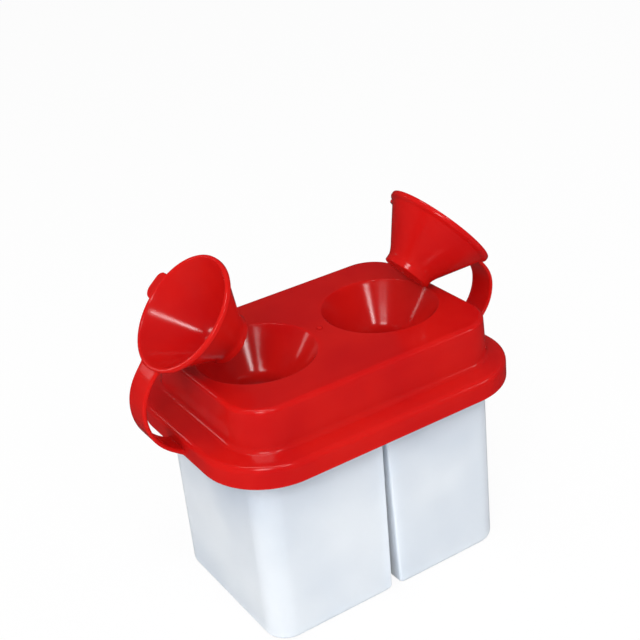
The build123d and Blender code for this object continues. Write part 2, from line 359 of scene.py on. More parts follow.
class Shader:
    """The node tree of a material or a world, with one method that adds any node."""

    def __init__(self, owner: bpy.types.Material | bpy.types.World) -> None:
        """Keeps the owner and empties its tree."""
        owner.use_nodes = True
        self.owner = owner
        self.nodes, self.links = owner.node_tree.nodes, owner.node_tree.links
        self.nodes.clear()

    def add(
        self,
        kind: str,
        settings: dict[str, Any] | None = None,
        inputs: dict[Any, Any] | None = None,
        output: int | str = 0,
    ) -> Wire:
        """Adds a node, sets it up and feeds its sockets.

        Args:
            kind: the node's type name.
            settings: attributes of the node, which are set first.
            inputs: values or wires by socket name or number.
            output: the output socket to return, by name or number.

        Returns:
            The wire of that output.
        """
        node = self.nodes.new(kind)
        for key, value in (settings or {}).items():
            setattr(node, key, value)
        for key, value in (inputs or {}).items():
            socket = node.inputs[key]
            if isinstance(value, Wire):
                self.links.new(value.socket, socket)
            else:
                socket.default_value = value
        return Wire(self, node.outputs[output] if len(node.outputs) else None)

    def place(self) -> Wire:
        """The point on the object in metres, in the row frame."""
        return self.add("ShaderNodeTexCoord", output="Object")

    def axis(self, point: Wire, letter: str) -> Wire:
        """One coordinate of a point."""
        return self.add("ShaderNodeSeparateXYZ", None, {0: point}, output=letter)

    def noise(self, point: Wire, scale: float, detail: float) -> Wire:
        """Noise with a mean of one half, whose features are about 1 / scale metres apart."""
        inputs = {"Vector": point, "Scale": scale, "Detail": detail, "Roughness": 0.5}
        return self.add("ShaderNodeTexNoise", None, inputs)

    def mixed(self, share: Operand, first: Wire | Colour, second: Wire | Colour) -> Wire:
        """A colour between two: first plus share times the difference."""
        return self.add(
            "ShaderNodeMix",
            {"data_type": "RGBA", "clamp_factor": True},
            {MIX_SHARE: share, MIX_COLOUR_A: first, MIX_COLOUR_B: second},
            output=MIX_COLOUR_OUT,
        )

    def switched(self, share: Operand, first: Wire, second: Wire) -> Wire:
        """A surface between two surfaces."""
        inputs = {MIX_SHARE: share, SHADER_A: first, SHADER_B: second}
        return self.add("ShaderNodeMixShader", None, inputs)

    def bump(self, height: Wire, strength: float, metres: float) -> Wire:
        """The surface's normal, bent as if it rose by the height times that many metres."""
        inputs = {"Height": height, "Strength": strength, "Distance": metres}
        return self.add("ShaderNodeBump", None, inputs)

    def glow(self, strength: float) -> Wire:
        """White light of an even strength."""
        return self.add("ShaderNodeEmission", None, {"Color": WHITE, "Strength": strength})

    def principled(self, **sockets: Any) -> Wire:
        """The surface shader, with socket names written with underscores."""
        return self.add(
            "ShaderNodeBsdfPrincipled",
            None,
            {key.replace("_", " "): value for key, value in sockets.items()},
        )

    def finish(self, surface: Wire) -> bpy.types.Material:
        """Connects the surface to the output and returns the material."""
        self.add("ShaderNodeOutputMaterial", None, {"Surface": surface})
        return self.owner


@dataclass(frozen=True)
class Plastic:
    """What both plastics share: sheen, a shallow bump, and light that enters to some depth."""

    slot: str
    roughness: float
    roughness_spread: float
    bump_strength: float
    bump_metres: float
    glint: float
    depth_share: float
    depth_colours: Triple
    depth_metres: float

    def surface(self, s: Shader, colour: Wire, sheen: Wire, height: Wire) -> bpy.types.Material:
        """Builds the surface: roughness = sheen * spread + (roughness - spread / 2), and a bump.

        Args:
            s: the shader that takes the nodes.
            colour: the base colour.
            sheen: noise that the roughness follows.
            height: noise that the bump follows.

        Returns:
            The finished material.
        """
        least = self.roughness - self.roughness_spread / 2
        return s.finish(
            s.principled(
                Base_Color=colour,
                Roughness=sheen * self.roughness_spread + least,
                Normal=s.bump(height, self.bump_strength, self.bump_metres),
                Specular_IOR_Level=self.glint,
                Subsurface_Weight=self.depth_share,
                Subsurface_Radius=self.depth_colours,
                Subsurface_Scale=self.depth_metres,
            )
        )


@dataclass(frozen=True)
class RedPlastic(Plastic):
    """Glossy moulded red polyethylene with faint flow bands, slow waves and a satin grain."""

    slot: str = "red_plastic"
    roughness: float = 0.15
    roughness_spread: float = 0.06
    bump_strength: float = 0.10
    bump_metres: float = 0.00035
    glint: float = 0.35
    depth_share: float = 0.35
    depth_colours: Triple = (1.0, 0.15, 0.12)
    depth_metres: float = 0.004
    deep: Colour = (0.455, 0.0045, 0.0050, 1.0)
    bright: Colour = (0.53, 0.0080, 0.0060, 1.0)
    flow_scale: float = 26.0
    flow_range: Pair = (0.32, 0.68)
    wave_scale: float = 95.0
    grain_scale: float = 2600.0
    grain_share: float = 0.25

    def make(self) -> bpy.types.Material:
        """Builds the material: two reds by the flow, sheen by the waves, a bump by both noises.

        Returns:
            The finished material.
        """
        s = Shader(bpy.data.materials.new(self.slot))
        point = s.place()
        flow = s.noise(point, self.flow_scale, 3.0).ramp(*self.flow_range)
        waves = s.noise(point, self.wave_scale, 2.0)
        grain = s.noise(point, self.grain_scale, 2.0)
        colour = s.mixed(flow, self.deep, self.bright)
        return self.surface(s, colour, sheen=waves, height=grain * self.grain_share + waves)


@dataclass(frozen=True)
class MilkyPlastic(Plastic):
    """Milky translucent polypropylene: cool white clouds, a satin skin, and painted shade that
    makes it greyer under the rim.

    The gap between the wells has painted light: its faces are painted paler, to lift the shade
    deep in it. Its faces are the points that lie within a few millimetres of the gap's middle
    plane, a limit that shrinks with height as the gap narrows, and they take on the outside's
    colour towards the pot's front and back. Lengths are metres.
    """

    slot: str = "milky_plastic"
    roughness: float = 0.36
    roughness_spread: float = 0.12
    bump_strength: float = 0.12
    bump_metres: float = 0.0004
    glint: float = 0.4
    depth_share: float = 0.6
    depth_colours: Triple = (1.0, 1.0, 1.0)
    depth_metres: float = 0.006
    clear: Colour = (0.80, 0.865, 0.945, 1.0)
    # The cloudy colour is both the clouds' own tone and the painted shade under the rim.
    cloudy_and_shaded: Colour = (0.41, 0.485, 0.60, 1.0)
    # inner: painted light, a paler colour painted on the gap's faces to lift the shade deep in the
    # gap.
    inner: Colour = (0.97, 0.98, 0.99, 1.0)
    cloud_scale: float = 22.0
    cloud_range: Pair = (0.30, 0.72)
    cloud_share: float = 0.35
    # rise: the heights in metres over which the outside is painted darker towards the rim, painted
    # shade under the lid's flange.
    rise: Pair = (0.030, 0.078)
    gap_x: float = 0.001
    gap_taper: float = 0.0155
    gap_edge: Pair = (0.0018, 0.0026)
    gap_ends: Pair = (0.0275, 0.0335)
    skin_scale: float = 160.0

    def _colour(self, s: Shader, point: Wire) -> Wire:
        """The clouds and the painted shade under the rim outside, and painted light on the gap's
        faces.

        Args:
            s: the shader that takes the nodes.
            point: the place on the object.

        Returns:
            The colour's wire.
        """
        x, y, z = (s.axis(point, letter) for letter in "XYZ")
        clouds = s.noise(point, self.cloud_scale, 2.0).ramp(*self.cloud_range)
        # Painted shade: besides the clouds, the outside darkens with height towards the rim, where
        # the lid's flange shades the pot.
        share = clouds * self.cloud_share + z.ramp(*self.rise) * (1 - self.cloud_share)
        outside = s.mixed(share, self.clear, self.cloudy_and_shaded)
        # Painted light: the gap's faces take the paler colour, which gives way to the outside's
        # colour towards the pot's front and back.
        near_end = y.absolute().ramp(*self.gap_ends)
        inside = s.mixed(near_end, self.inner, outside)
        from_gap = (x - self.gap_x).absolute() + z * self.gap_taper
        return s.mixed(from_gap.ramp(*self.gap_edge), inside, outside)

    def make(self) -> bpy.types.Material:
        """Builds the material: the colour above, and sheen and a bump by the skin's noise.

        Returns:
            The finished material.
        """
        s = Shader(bpy.data.materials.new(self.slot))
        point = s.place()
        skin = s.noise(point, self.skin_scale, 3.0)
        return self.surface(s, self._colour(s, point), sheen=skin, height=skin)


# ---------------------------------------------------------------- the pot


@dataclass
class Pot:
    """The milky pot: two wells, the rim that the lid drops over and the bridge between them."""

    half_length: float = 50.0
    half_width: float = 34.6
    height: float = 77.4
    corner: float = 9.0
    least_corner: float = 2.2
    wall: float = 1.4
    wall_rows: tuple[float, ...] = (12.0, 30.0, 50.0, 68.0)
    lip_round: float = 0.3
    floor: float = 2.4
    floor_round: float = 2.0
    foot_round: float = 2.8
    ring_width: float = 6.0
    ring_slope: float = 0.6
    ring_corners: Pair = (3.0, 3.4)
    recess: float = 0.8
    slot_x: float = 1.0
    slot_below: float = 3.8
    slot_above: float = 1.6
    slot_top: float = 71.0
    slot_round: float = 0.9
    inner_corner: float = 3.0
    rim_half_length: float = 58.4
    rim_half_width: float = 41.85
    rim_corner: float = 22.2
    rim_thickness: float = 2.2
    rim_round: float = 0.4
    rim_fillet: float = 0.8
    collar_round: float = 0.5
    collar_overlap: float = 0.6
    bridge_overlap: float = 0.5
    bridge_rise: float = 0.6
    bridge_end: float = 0.4
    proud: float = 0.05
    spans: Spans = (10, 12, 20)
    rim_spans: Spans = (24, 16, 24)
    finish: MilkyPlastic = field(default_factory=MilkyPlastic)

    def _well_rows(self, side: Side, rows: np.ndarray) -> np.ndarray:
        """Outlines of one well.

        Each row is a rounded rectangle from the slot's face to the pot's end: straight runs, and
        corners that are a centre plus a radius times sine and cosine. The slot's face leans, as
        the gap narrows in a straight line from its width below to its width above.

        Args:
            side: which well.
            rows: columns height, inset, far corner and near corner.

        Returns:
            A grid of rows x points x 3, ordered anticlockwise from above.
        """
        z, inset, far_r, near_r = (rows[:, i : i + 1] for i in range(4))
        lean = np.clip(z / self.slot_top, 0, 1)
        gap = self.slot_below + (self.slot_above - self.slot_below) * lean
        near = side.value * self.slot_x + gap / 2 + inset
        far = self.half_length - inset
        half_y = self.half_width - inset
        along, turn, across = self.spans
        flat = cosine_steps(along)[None, :]
        rise = cosine_steps(across)[None, :]
        quarter = np.radians(np.linspace(0, 90, turn + 1))[None, 1:-1]
        sine, cosine = np.sin(quarter), np.cos(quarter)
        x = np.concatenate(
            [
                near + near_r + (far - far_r - near - near_r) * flat,
                far - far_r + far_r * sine,
                far + 0 * rise,
                far - far_r + far_r * cosine,
                far - far_r + (near + near_r - far + far_r) * flat,
                near + near_r - near_r * sine,
                near + 0 * rise,
                near + near_r - near_r * cosine,
            ],
            axis=1,
        )
        y = np.concatenate(
            [
                -half_y + 0 * flat,
                -half_y + far_r - far_r * cosine,
                (half_y - far_r) * (2 * rise - 1),
                half_y - far_r + far_r * sine,
                half_y + 0 * flat,
                half_y - near_r + near_r * cosine,
                (half_y - near_r) * (1 - 2 * rise),
                -half_y + near_r - near_r * sine,
            ],
            axis=1,
        )
        return np.stack([x * side.value, y, z + 0 * x], axis=-1)

    def _well_profile(self) -> np.ndarray:
        """The wall of a well, from its underside round the lip and down to its floor.

        Returns:
            Rows of height, inset, far corner and near corner.
        """
        foot, base, lip = self.foot_round, self.floor_round, self.lip_round
        top = self.slot_top + self.wall
        line = joined(
            arc((foot, foot), foot, 270, 180, 8),
            [[0.0, height] for height in self.wall_rows],
            arc((lip, top - lip), lip, 180, 90, 3),
            arc((self.wall - lip, top - lip), lip, 90, 0, 3),
            [[self.wall, height] for height in reversed(self.wall_rows)],
            arc((self.wall + base, self.floor + base), base, 180, 270, 6),
        )
        inset, height = line[:, 0], line[:, 1]
        far_r = np.maximum(self.corner - inset, self.least_corner)
        near_r = self.slot_round + (self.inner_corner - self.slot_round) * np.clip(
            inset / self.wall, 0, 1
        )
        return np.stack([height, inset, far_r, near_r], axis=-1)

    def _closed_well(self, side: Side) -> np.ndarray:
        """One well as a closed wall: centre of the underside, foot ring, walls and floor.

        Args:
            side: which well.

        Returns:
            A grid of rows x points x 3 that closes at both ends.
        """
        inner, outer = self.ring_corners
        under = [
            [self.recess, self.ring_width + self.ring_slope, inner, inner],
            [0.0, self.ring_width, outer, outer],
        ]
        rows = self._well_rows(side, np.concatenate([under, self._well_profile()]))
        centre_x = side.value * (self.half_length + side.value * self.slot_x) / 2
        low = np.broadcast_to([centre_x, 0, self.recess], rows[:1].shape)
        high = np.broadcast_to([centre_x, 0, self.floor], rows[:1].shape)
        return np.concatenate([low, rows, high])

    def _rim(self) -> np.ndarray:
        """The collar and its outward rim: a closed section swept round the pot's outline.

        Returns:
            A grid of rows x points x 3, its last row on its first.
        """
        wall_out, wall_in = -self.proud, self.wall + self.proud
        reach = self.rim_half_length - self.half_length
        under, low = self.height - self.rim_thickness, self.slot_top - self.collar_overlap
        fillet, edge, collar = self.rim_fillet, self.rim_round, self.collar_round
        line = joined(
            [[wall_out, low]],
            arc((wall_out - fillet, under - fillet), fillet, 0, 90, 4),
            arc((edge - reach, under + edge), edge, 270, 180, 4),
            arc((self.rim_thickness - reach, under), self.rim_thickness, 180, 90, 8),
            arc((wall_in - collar, self.height - collar), collar, 90, 0, 5),
            [[wall_in, low], [wall_out, low]],
        )
        inset = line[:, 0]
        knots = [-reach, wall_out, wall_in]
        widths = [self.rim_half_width, self.half_width - wall_out, self.half_width - wall_in]
        half_y = np.interp(inset, knots, widths)
        corner = np.interp(inset, knots, [self.rim_corner, self.corner, self.corner - wall_in])
        half = half_outline(self.half_length - inset, half_y, corner, self.rim_spans)
        return raised(whole_outline(half), line[:, 1])

    def _bridge(self) -> np.ndarray:
        """The bar that closes the slot at its top, a rounded section drawn along Y.

        Returns:
            A grid of stations x points x 3 that closes at both ends.
        """
        half = self.slot_above / 2 + self.bridge_overlap
        centre = (self.slot_x, self.slot_top - self.slot_above / 2 + half * self.bridge_rise)
        high = self.slot_top + self.wall - self.proud
        section = joined(
            arc(centre, half, 180, 360, 8),
            [[self.slot_x + half, high], [self.slot_x - half, high]],
        )
        reach = self.half_width - self.bridge_end
        stations = np.array([-reach, -reach, reach, reach])
        closed = np.array([0.0, 1.0, 1.0, 0.0])[:, None]
        middle = section.mean(axis=0)
        x = middle[0] + (section[:, 0] - middle[0])[None, :] * closed
        z = middle[1] + (section[:, 1] - middle[1])[None, :] * closed
        y = stations[:, None] + 0 * x
        return np.stack([x, y, z], axis=-1)

    def build(self) -> bpy.types.Object:
        """Builds and dresses the pot.

        Returns:
            The pot's object, which stands for the CAD node.
        """
        skin = Skin()
        for side in Side:
            skin.add(self._closed_well(side), wrap=True, flip=side is Side.LEFT)
        skin.add(self._rim(), wrap=True)
        skin.add(self._bridge(), wrap=True, flip=True)
        piece = skin.build("milky_pot", self.finish.make())
        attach(piece, "pot")
        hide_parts("container")
        return piece


# ---------------------------------------------------------------- the lid


@dataclass
class Lid:
    """The red lid: skirt, shoulder, ledge, raised middle and two funnels, one closed wall.

    A hold is how far beyond a rounding the next row stands, so that the rounding's shading stays
    off the flat wall. A bend lists the points that ease the outline round a corner.
    """

    half_length: float = 51.5
    half_width: float = 36.6
    corner: float = 13.6
    least_corner: float = 1.0
    top: float = 95.2
    top_round: float = 1.8
    wall_lean: float = 0.02
    wall_hold: float = 0.3
    foot_spread: float = 0.45
    flange_half_length: float = 60.7
    flange_half_width: float = 44.15
    flange_corner: float = 24.5
    skirt_bottom: float = 69.9
    skirt_round: float = 0.5
    skirt_hold: float = 0.4
    ledge: float = 79.5
    ledge_slope: float = 15.0
    foot_fillet: float = 2.4
    shoulder_round: float = 2.6
    shoulder_centre: float = 75.6
    inner_shoulder: float = 2.9
    inner_round: float = 0.8
    wall: float = 1.8
    funnel_x: float = 26.1
    mouth: float = 21.5
    mouth_round: float = 0.9
    mouth_hold: float = 0.2
    half_angle: float = 36.0
    throat: float = 10.3
    throat_bottom: float = 74.0
    throat_fillet: float = 8.0
    throat_hold: float = 0.4
    throat_edge: float = 0.35
    funnel_wall: float = 1.6
    ceiling_bend: tuple[Pair, ...] = ((1.2, 0.0), (0.4, -0.1), (-0.15, -0.6))
    tube_bend: tuple[Pair, ...] = ((1.0, 1.4), (0.25, 0.2), (0.0, -0.8))
    gate_radius: float = 1.1
    gate_height: float = 0.7
    gate_root: float = 0.6
    gate_spans: int = 32
    spans: Spans = (18, 18, 22)
    middle_spans: int = 40
    sheet_rows: tuple[float, ...] = (0.06, 0.3, 0.6, 0.94, 1.0)
    finish: RedPlastic = field(default_factory=RedPlastic)

    @property
    def reach(self) -> float:
        """How far the skirt stands out beyond the raised middle, along X."""
        return self.flange_half_length - self.half_length

    def _plan(self, out: np.ndarray) -> np.ndarray:
        """Right half outlines at distances out from the raised middle's top edge.

        Inside the foot the outline grows evenly. Beyond it, sizes and corner run in a straight
        line to the flange's own.

        Args:
            out: distances along X, negative inside the raised middle.

        Returns:
            An array of rows x points x 2.
        """
        inner, foot = -20.0, self.foot_spread
        knots = [inner, foot, self.reach]
        widths = [self.half_width + inner, self.half_width + foot, self.flange_half_width]
        corners = [self.corner + inner, self.corner + foot, self.flange_corner]
        half_y = np.interp(out, knots, widths)
        corner = np.maximum(np.interp(out, knots, corners), self.least_corner)
        return half_outline(self.half_length + out, half_y, corner, self.spans)

    def _outer_profile(self) -> np.ndarray:
        """The outside, from the top edge down the wall, over the ledge and down the skirt.

        Returns:
            Rows of (out, height).
        """
        r, foot, f = self.top_round, self.foot_spread, self.foot_fillet
        edge, hold = self.skirt_round, self.wall_hold
        slope, turn = math.radians(self.ledge_slope), self.shoulder_round
        shoulder_x = self.reach - turn
        start_x = shoulder_x + turn * math.sin(slope)
        start_z = self.shoulder_centre + turn * math.cos(slope)
        end_x = foot + f * (1 - math.sin(slope))
        end_z = start_z + (start_x - end_x) * math.tan(slope)
        wall_low = end_z + f * math.cos(slope)
        return joined(
            arc((-r, self.top - r), r, 90, 0, 10),
            [[self.wall_lean, self.top - r - hold], [foot / 2, (self.top + wall_low) / 2]],
            [[foot, wall_low + hold]],
            arc((foot + f, wall_low), f, 180, 270 - self.ledge_slope, 10),
            [[(start_x + end_x) / 2, (start_z + end_z) / 2]],
            arc((shoulder_x, self.shoulder_centre), turn, 90 - self.ledge_slope, 0, 12),
            [[self.reach, self.shoulder_centre - self.skirt_hold]],
            [[self.reach, self.skirt_bottom + edge + self.skirt_hold]],
            arc((self.reach - edge, self.skirt_bottom + edge), edge, 0, -90, 5),
        )

    def _inner_profile(self) -> np.ndarray:
        """The inside, up the skirt, under the ledge and up the middle's wall to the ceiling.

        Returns:
            Rows of (out, height).
        """
        t, edge, r, turn = self.wall, self.skirt_round, self.inner_round, self.inner_shoulder
        inside, under, ceiling = self.reach - t, self.ledge - t, self.top - t
        return joined(
            arc((inside + edge, self.skirt_bottom + edge), edge, 270, 180, 5),
            [[inside, under - turn - self.wall_hold]],
            arc((inside - turn, under - turn), turn, 0, 90, 8),
            arc((self.foot_spread + r - t, under + r), r, 270, 180, 4),
            arc((-t - r, ceiling - r), r, 0, 90, 4),
        )

    def _cone_radius(self, height: Any) -> Any:
        """Radius of the funnel's straight cone: mouth less depth times the tangent."""
        return self.mouth - (self.top - height) * math.tan(math.radians(self.half_angle))

    def _funnel_profile(self) -> np.ndarray:
        """The way through a funnel, from the throat's lower edge up to the flat top.

        The fillet between throat and cone starts its radius times tan(slope / 2) below the corner
        where the two lines meet, and the mouth's rounding is set out in the same way.

        Returns:
            Rows of (radius, height).
        """
        slope = math.radians(self.half_angle)
        corner_z = self.top - (self.mouth - self.throat) / math.tan(slope)
        fillet = self.throat_fillet
        low = corner_z - fillet * math.tan(slope / 2)
        mouth_turn = math.pi / 2 - slope
        centre_r = self.mouth + self.mouth_round * math.tan(mouth_turn / 2)
        cone_low = low + fillet * math.sin(slope) + self.throat_hold
        cone_high = self.top - self.mouth_round - self.mouth_hold
        cone = np.linspace(cone_low, cone_high, 8)
        edge, bottom = self.throat_edge, self.throat_bottom
        start, centre = 90 + math.degrees(mouth_turn), (centre_r, self.top - self.mouth_round)
        return joined(
            [[self.throat + edge, bottom], [self.throat, bottom + edge]],
            arc((self.throat + fillet, low), fillet, 180, 180 - self.half_angle, 14),
            np.stack([self._cone_radius(cone), cone], axis=-1),
            arc(centre, self.mouth_round, start, 90, 6),
        )

    def _under_profile(self) -> np.ndarray:
        """A funnel's outside, from the ceiling down to the throat's edge.

        Returns:
            Rows of (radius, height).
        """
        slope = math.radians(self.half_angle)
        across = self.funnel_wall / math.cos(slope)
        tube = self.throat + self.funnel_wall
        ceiling = self.top - self.wall
        meet = self.top - (self.mouth + across - tube) / math.tan(slope)
        high = self._cone_radius(ceiling) + across
        edge, bottom = self.throat_edge, self.throat_bottom
        return joined(
            bend((high, ceiling), self.ceiling_bend),
            bend((tube, meet), self.tube_bend),
            [[tube, bottom + edge], [tube - edge, bottom], [self.throat + edge, bottom]],
        )

    def _half_edge(self, out: float) -> np.ndarray:
        """A half's edge: the half outline at a distance out, then back along the line x = 0.

        Args:
            out: distance along X from the raised middle's top edge.

        Returns:
            Points (x, y), anticlockwise.
        """
        edge = self._plan(np.array([out]))[0]
        middle = edge[-1, 1] * (1 - 2 * cosine_steps(self.middle_spans)[1:-1])
        return np.concatenate([edge, np.stack([0 * middle, middle], axis=-1)])

    def _half_sheet(self, profile: np.ndarray, out: float, height: float) -> np.ndarray:
        """One half of the lid's flat top or ceiling with its funnel.

        Each column starts on the funnel and runs straight to a point of the half's edge. The
        funnel's rows are its centre plus the profile's radius times the column's direction, and
        that direction turns, down the funnel, into the one that both sheets share at its end.

        Args:
            profile: (radius, height) rows that end on the sheet.
            out: distance of the edge from the raised middle's top edge.
            height: the sheet's height.

        Returns:
            A grid of rows x columns x 3.
        """
        centre = np.array([self.funnel_x, 0.0])
        edge = self._half_edge(out)
        share = (profile[:, 1] - self.throat_bottom) / (height - self.throat_bottom)
        share = share[:, None, None]
        way = share * unit(edge - centre) + (1 - share) * unit(self._half_edge(0.0) - centre)
        rings = centre + profile[:, 0][:, None, None] * unit(way)
        rim = rings[-1:]
        flat = rim + (edge - rim) * np.array(self.sheet_rows)[:, None, None]
        return np.concatenate([raised(rings, profile[:, 1]), raised(flat, height)])

    def _gate(self) -> np.ndarray:
        """The small round gate mark, a low dome: an ellipse's quarter turned about its axis.

        Returns:
            A grid of rows x angles x 3.
        """
        root = self.top - self.gate_root
        profile = joined(
            [[0.0, root], [self.gate_radius, root]],
            ellipse_arc((0.0, self.top), (self.gate_radius, self.gate_height), 0, 90, 10),
        )
        return revolved(profile, np.linspace(0, math.tau, self.gate_spans, endpoint=False))

    def build(self) -> bpy.types.Object:
        """Builds and dresses the lid.

        Returns:
            The lid's object, which stands for the CAD node.
        """
        skin = Skin()
        outer, inner = self._outer_profile(), self._inner_profile()
        shell = joined(outer, inner)
        skin.add(raised(whole_outline(self._plan(shell[:, 0])), shell[:, 1]), wrap=True, flip=True)
        top_sheet = self._half_sheet(self._funnel_profile(), outer[0, 0], self.top)
        ceiling = self._half_sheet(
            self._under_profile()[::-1], inner[-1, 0], self.top - self.wall
        )
        mirror = np.array([-1.0, 1.0, 1.0])
        skin.add(top_sheet, wrap=True, flip=True)
        skin.add(top_sheet * mirror, wrap=True)
        skin.add(ceiling, wrap=True)
        skin.add(ceiling * mirror, wrap=True, flip=True)
        skin.add(self._gate(), wrap=True)
        piece = skin.build("red_lid", self.finish.make())
        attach(piece, "lid")
        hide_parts("lid")
        return piece


# ---------------------------------------------------------------- stoppers and straps


@dataclass
class Stopper:
    """A hollow cone stopper with an upright band, a spigot at its small end and a finger tab.

    Heights run down from the band's top. A bend lists the points that ease the outline round a
    corner, and a pair of rows says how far the straight rows stay from the corners at their ends.
    The lip is the band's inner edge. The tab starts at its root's first distance inside the
    band's outer edge and is whole at its second.
    """

    side: Side
    opened: float
    pivot: Pair
    band_radius: float = 21.1
    band_height: float = 2.3
    cone_top: float = 19.9
    depth: float = 22.2
    spigot_radius: float = 9.2
    spigot_height: float = 3.3
    edge_round: float = 0.5
    wall: float = 1.3
    hollow_rows: Pair = (2.4, 0.2)
    cone_rows: Pair = (1.1, 1.9)
    lip_start: float = 145.0
    lip_shift: float = 0.35
    floor_bend: tuple[Pair, ...] = ((-3.0, 0.0), (-0.9, 0.3), (0.45, 1.2))
    hollow_bend: tuple[Pair, ...] = ((-1.1, -1.75), (-0.74, -1.2), (-0.4, -0.7))
    band_bend: tuple[Pair, ...] = ((0.0, 1.0), (-0.07, 0.68), (-0.3, 0.38))
    cone_bend: tuple[Pair, ...] = ((0.15, -0.02), (-0.22, -0.42))
    neck_bend: tuple[Pair, ...] = (
        (0.92, 1.35), (0.66, 0.85), (0.42, 0.35), (0.22, -0.15), (0.08, -0.65), (0.0, -1.2)
    )
    band_top: float = 98.1
    closed_x: float = Lid.funnel_x
    tab_angle: float = 97.0
    tab_half_width: float = 5.0
    tab_reach: float = 3.6
    tab_corner: float = 3.2
    tab_softness: float = 0.35
    tab_fade: float = 1.2
    tab_root: Pair = (0.9, 0.6)
    tab_slack: float = 0.05
    tab_window: float = 18.0
    tab_steps: int = 60
    band_steps: int = 138
    finish: RedPlastic = field(default_factory=RedPlastic)

    def _profile(self) -> np.ndarray:
        """The closed wall, from the hollow's floor over the band and down to the small end.

        The cone's inside is its outside moved in by the wall: wall * hypot(1, slope) in radius.

        Returns:
            Rows of (radius, height), from the axis back to the axis.
        """
        band, t = self.band_radius, self.band_height
        spigot, low = self.spigot_radius, -self.depth
        spigot_top = low + self.spigot_height
        slope = (self.cone_top - spigot) / (spigot_top + t)
        inner_top = self.cone_top - self.wall * math.hypot(1.0, slope)
        floor = low + self.wall
        inner_low = inner_top - (floor + t) * slope
        hollow, r = band - self.wall, self.edge_round
        inside_z = np.linspace(floor + self.hollow_rows[0], -t - self.hollow_rows[1], 8)
        inside = np.stack([inner_top - (inside_z + t) * slope, inside_z], axis=-1)
        outside_z = np.linspace(-t - self.cone_rows[0], spigot_top + self.cone_rows[1], 8)
        outside_r = np.interp(outside_z, [spigot_top, -t], [spigot, self.cone_top])
        return joined(
            [[0.0, floor]],
            bend((inner_low, floor), self.floor_bend),
            inside,
            bend((hollow, 0.0), self.hollow_bend),
            arc((hollow + self.lip_shift, -r), r, self.lip_start, 90, 5),
            arc((band - r, -r), r, 90, 0, 6),
            bend((band, -t), self.band_bend),
            bend((self.cone_top, -t), self.cone_bend),
            np.stack([outside_r, outside_z], axis=-1),
            bend((spigot, spigot_top), self.neck_bend),
            arc((spigot - r, low + r), r, 0, -90, 5),
            [[0.0, low]],
        )

    def _angles(self) -> np.ndarray:
        """Angles round the axis, even except round the tab, where they crowd.

        Returns:
            Angles in radians, a full turn without its end.
        """
        tab, middle = math.radians(self.tab_window), math.radians(self.tab_angle)
        near = middle + np.linspace(-tab, tab, self.tab_steps + 1)
        far = np.linspace(middle + tab, middle + math.tau - tab, self.band_steps + 1)[1:-1]
        return np.concatenate([near, far])

    def _edge_radius(self, angles: np.ndarray) -> np.ndarray:
        """The band's outer radius, out to the tab's outline round the tab's angle.

        The tab's outline is a rounded rectangle: along a ray it is the nearest of the flat end,
        the straight side and the corner circle, and it blends into the band by a smooth maximum.

        Args:
            angles: angles round the axis.

        Returns:
            The radius for each angle.
        """
        off = angles - math.radians(self.tab_angle)
        off = np.abs((off + math.pi) % math.tau - math.pi)
        end = self.band_radius + self.tab_reach
        flat = end / np.maximum(np.cos(off), 0.1)
        cx, cy = self.tab_half_width - self.tab_corner, end - self.tab_corner
        along = cx * np.sin(off) + cy * np.cos(off)
        inside = self.tab_corner**2 - (cx**2 + cy**2 - along**2)
        corner = along + np.sqrt(np.maximum(inside, 0.0))
        corner = np.where(inside > 0, corner, 0.0)
        tab = np.where(off < math.atan2(cx, end), flat, corner)
        high = np.maximum(tab, self.band_radius)
        gap = np.abs(tab - self.band_radius)
        swell = self.tab_softness * np.log1p(np.exp(-gap / self.tab_softness)) / 2
        return high + swell * np.exp(-gap / self.tab_fade)

    def turned(self, radius: Any, height: Any) -> tuple[Any, Any]:
        """Carries points of the closed stopper's XZ plane open about the pivot line.

        With (x, z) the point from the pivot, the turn by angle a about Y gives
        (x cos a + z sin a, z cos a - x sin a).

        Args:
            radius: numbers or arrays, from the stopper's axis towards its strap.
            height: numbers or arrays, from the top of the stopper's band.

        Returns:
            X and Z in the row frame, on the side of +X.
        """
        turn = math.radians(self.opened)
        x = radius + self.closed_x - self.pivot[0]
        z = height + self.band_top - self.pivot[1]
        return (
            self.pivot[0] + x * math.cos(turn) + z * math.sin(turn),
            self.pivot[1] + z * math.cos(turn) - x * math.sin(turn),
        )

    def build(self) -> bpy.types.Object:
        """Builds and dresses the stopper.

        The profile is turned about the axis, and the rows of the band's upper edge and side move
        out by the tab's spread: nothing at the tab's root, all of it a little further out.

        Returns:
            The stopper's object, which stands for the CAD node.
        """
        profile, angles = self._profile(), self._angles()
        spread = self._edge_radius(angles) - self.band_radius
        root, full = (self.band_radius - inside for inside in self.tab_root)
        share = np.clip((profile[:, :1] - root) / (full - root), 0, 1)
        share = np.where(profile[:, 1:] > -self.band_height - self.tab_slack, share, 0.0)
        grid = revolved(profile, angles)
        grid[..., 0] += share * spread * np.cos(angles)
        grid[..., 1] += share * spread * np.sin(angles)
        x, z = self.turned(grid[..., 0], grid[..., 2])
        grid = np.stack([x * self.side.value, grid[..., 1], z], axis=-1)
        skin = Skin().add(grid, wrap=True, flip=self.side is Side.RIGHT)
        piece = skin.build(f"red_stopper_{self.side.word}", self.finish.make())
        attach(piece, f"{self.side.word}_stopper")
        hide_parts(f"stopper_{self.side.word}")
        return piece


